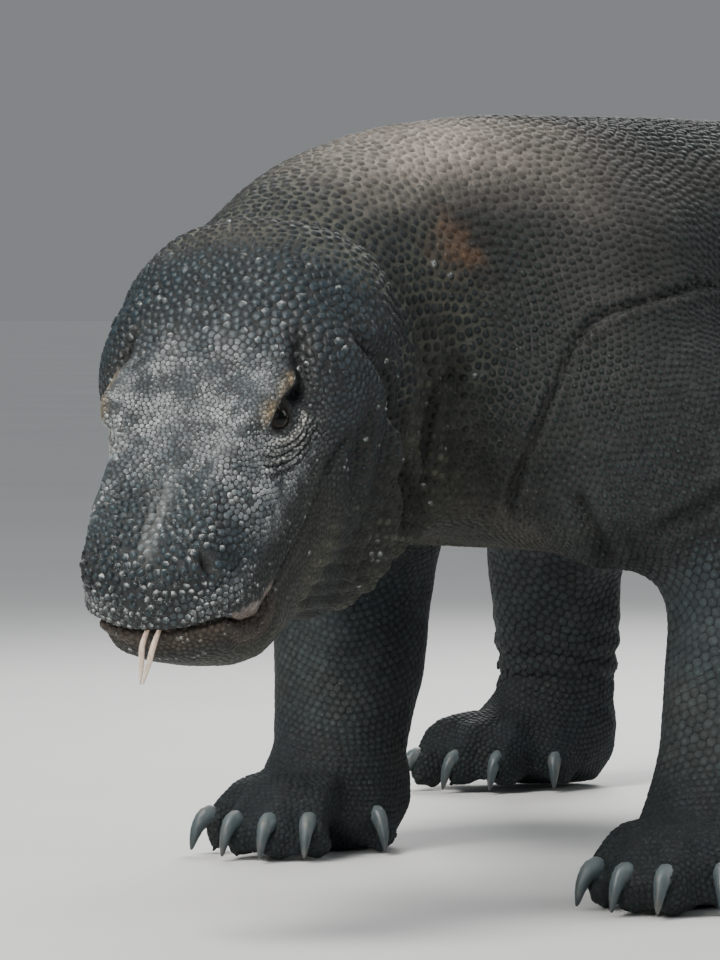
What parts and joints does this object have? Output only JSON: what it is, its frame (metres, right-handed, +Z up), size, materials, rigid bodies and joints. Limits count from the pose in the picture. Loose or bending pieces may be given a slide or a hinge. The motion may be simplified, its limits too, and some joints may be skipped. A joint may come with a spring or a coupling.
{
  "type": "komodo dragon",
  "caption": "Life-size komodo dragon standing with its head lowered, forked tongue out, one forefoot forward and its long tail laid on the floor.",
  "frame": {"origin": "middle of the footprint at floor level", "axes": "+Z up, nose towards -Y, the animal's left side towards +X"},
  "size_m": [0.715, 2.305, 0.4127],
  "materials": {
    "hide": "dry, scaly",
    "eye": "wet gloss",
    "claw": "satin horn",
    "tongue": "moist"
  },
  "bodies": {
    "root": {"claw_foot_L_1": "claw", "claw_foot_L_2": "claw", "claw_foot_L_3": "claw", "claw_foot_L_4": "claw", "claw_foot_L_5": "claw", "claw_foot_R_1": "claw", "claw_foot_R_2": "claw", "claw_foot_R_3": "claw", "claw_foot_R_4": "claw", "claw_foot_R_5": "claw", "claw_hand_L_1": "claw", "claw_hand_L_2": "claw", "claw_hand_L_3": "claw", "claw_hand_L_4": "claw", "claw_hand_L_5": "claw", "claw_hand_R_1": "claw", "claw_hand_R_2": "claw", "claw_hand_R_3": "claw", "claw_hand_R_4": "claw", "claw_hand_R_5": "claw", "eye_L": "eye", "eye_R": "eye", "foot_L": "hide", "foot_R": "hide", "forearm_L": "hide", "forearm_R": "hide", "hand_L": "hide", "hand_R": "hide", "head": "hide", "lower_jaw": "hide", "neck": "hide", "pelvis": "hide", "shank_L": "hide", "shank_R": "hide", "tail_1": "hide", "tail_2": "hide", "tail_3": "hide", "tail_4": "hide", "thigh_L": "hide", "thigh_R": "hide", "tongue": "tongue", "trunk_front": "hide", "trunk_middle": "hide", "upper_arm_L": "hide", "upper_arm_R": "hide"}
  },
  "joints": []
}
